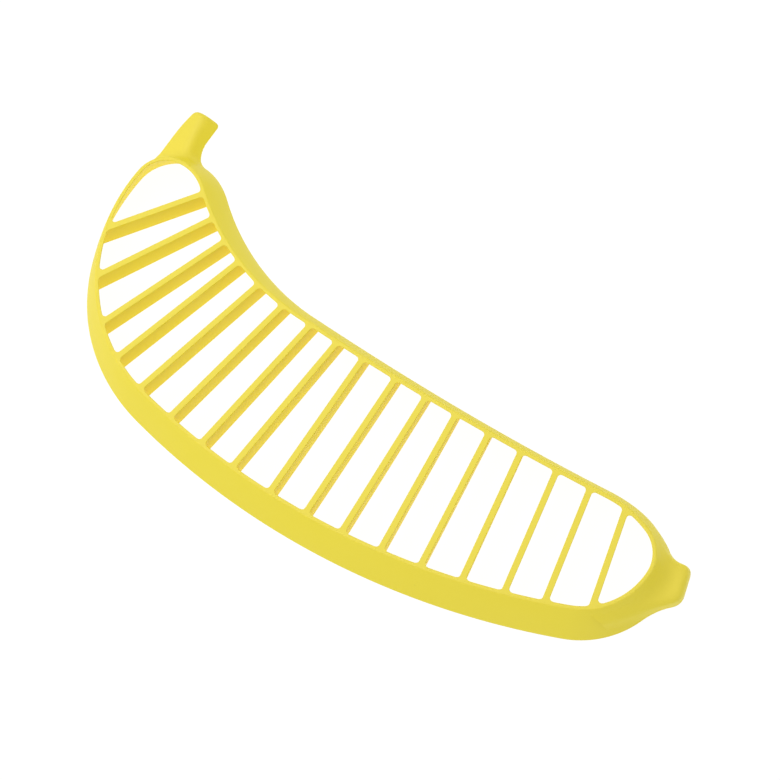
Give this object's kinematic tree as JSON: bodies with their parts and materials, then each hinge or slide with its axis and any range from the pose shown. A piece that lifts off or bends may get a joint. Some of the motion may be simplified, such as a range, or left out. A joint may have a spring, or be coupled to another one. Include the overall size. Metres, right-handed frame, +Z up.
{
  "type": "banana slicer",
  "caption": "Banana-shaped kitchen slicer in yellow plastic: an open curved rim crossed by upright blades, with a half stem at one end and a short tip at the other.",
  "frame": {"origin": "middle of the footprint, on the plane that the rim's foot rests on", "axes": "+X along the slicer from the stem to the tip, +Y towards the back (the hollow side of the curve), +Z up to the flat land and the blades' tops"},
  "size_m": [0.2624, 0.1196, 0.0185],
  "materials": {
    "plastic": "gloss"
  },
  "bodies": {
    "root": {"rim": "plastic", "stem_handle": "plastic", "tip_handle": "plastic", "blade_01": "plastic", "blade_02": "plastic", "blade_03": "plastic", "blade_04": "plastic", "blade_05": "plastic", "blade_06": "plastic", "blade_07": "plastic", "blade_08": "plastic", "blade_09": "plastic", "blade_10": "plastic", "blade_11": "plastic", "blade_12": "plastic", "blade_13": "plastic", "blade_14": "plastic", "blade_15": "plastic", "blade_16": "plastic", "blade_17": "plastic"}
  },
  "joints": []
}
